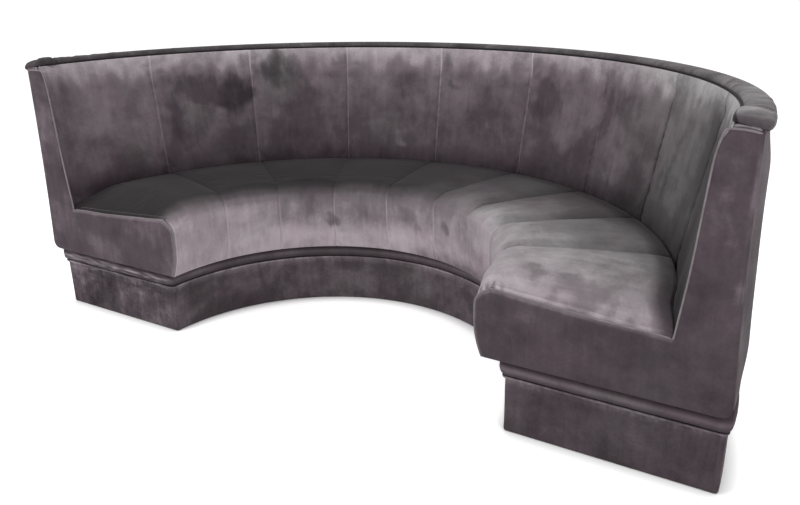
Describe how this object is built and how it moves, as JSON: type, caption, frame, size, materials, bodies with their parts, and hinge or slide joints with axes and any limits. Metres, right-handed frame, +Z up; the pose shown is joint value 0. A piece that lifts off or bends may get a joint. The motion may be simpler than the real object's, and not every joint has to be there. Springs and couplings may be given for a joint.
{
  "type": "curved sofa",
  "caption": "Half-round upholstered banquette with a channelled velvet seat and back, flat ends, a padded bead and a recessed plinth.",
  "frame": {"origin": "on the floor, at the middle of the object's box", "axes": "+X along the flat ends, to the right of someone who looks into the open side; +Y from the open side to the back; +Z up"},
  "size_m": [2.4658, 1.2582, 0.9494],
  "materials": {
    "velvet": "brushed mauve-grey velvet over wadding",
    "piping_velvet": "dark velvet piping",
    "foam": "cut upholstery foam",
    "plywood": "sawn birch plywood",
    "hardboard": "bending hardboard",
    "lining": "black non-woven lining",
    "glide_plastic": "moulded nylon",
    "zinc_steel": "zinc plated"
  },
  "bodies": {
    "root": {"back_foam": "foam", "back_top_rail": "plywood", "bead_roll_back": "velvet", "bead_roll_front": "velvet", "cap_piping": "piping_velvet", "coach_screw_1": "zinc_steel", "coach_screw_2": "zinc_steel", "coach_screw_3": "zinc_steel", "coach_screw_4": "zinc_steel", "coach_screw_5": "zinc_steel", "coach_screw_6": "zinc_steel", "dust_cover": "lining", "end_board_left": "plywood", "end_board_right": "plywood", "end_cover_left": "velvet", "end_cover_right": "velvet", "end_welt_left": "velvet", "end_welt_right": "velvet", "gable_rib_1": "plywood", "gable_rib_2": "plywood", "gable_rib_3": "plywood", "gable_rib_4": "plywood", "gable_rib_5": "plywood", "gable_rib_6": "plywood", "gable_rib_7": "plywood", "glide_1": "glide_plastic", "glide_10": "glide_plastic", "glide_2": "glide_plastic", "glide_3": "glide_plastic", "glide_4": "glide_plastic", "glide_5": "glide_plastic", "glide_6": "glide_plastic", "glide_7": "glide_plastic", "glide_8": "glide_plastic", "glide_9": "glide_plastic", "inside_back_cover": "velvet", "inside_back_panel": "hardboard", "outside_back_cover": "velvet", "outside_back_panel": "hardboard", "plinth_cover": "velvet", "plinth_end_board_left": "plywood", "plinth_end_board_right": "plywood", "plinth_front_former": "plywood", "plinth_rear_former": "plywood", "plinth_rib_1": "plywood", "plinth_rib_2": "plywood", "plinth_rib_3": "plywood", "plinth_rib_4": "plywood", "plinth_rib_5": "plywood", "plinth_top_ring": "plywood", "seat_base_ring": "plywood", "seat_cover": "velvet", "seat_deck": "plywood", "seat_foam": "foam", "seat_front_rail": "plywood", "spacer_end_block_left": "plywood", "spacer_end_block_right": "plywood", "spacer_front": "plywood", "spacer_rear": "plywood", "top_cap": "velvet"}
  },
  "joints": []
}
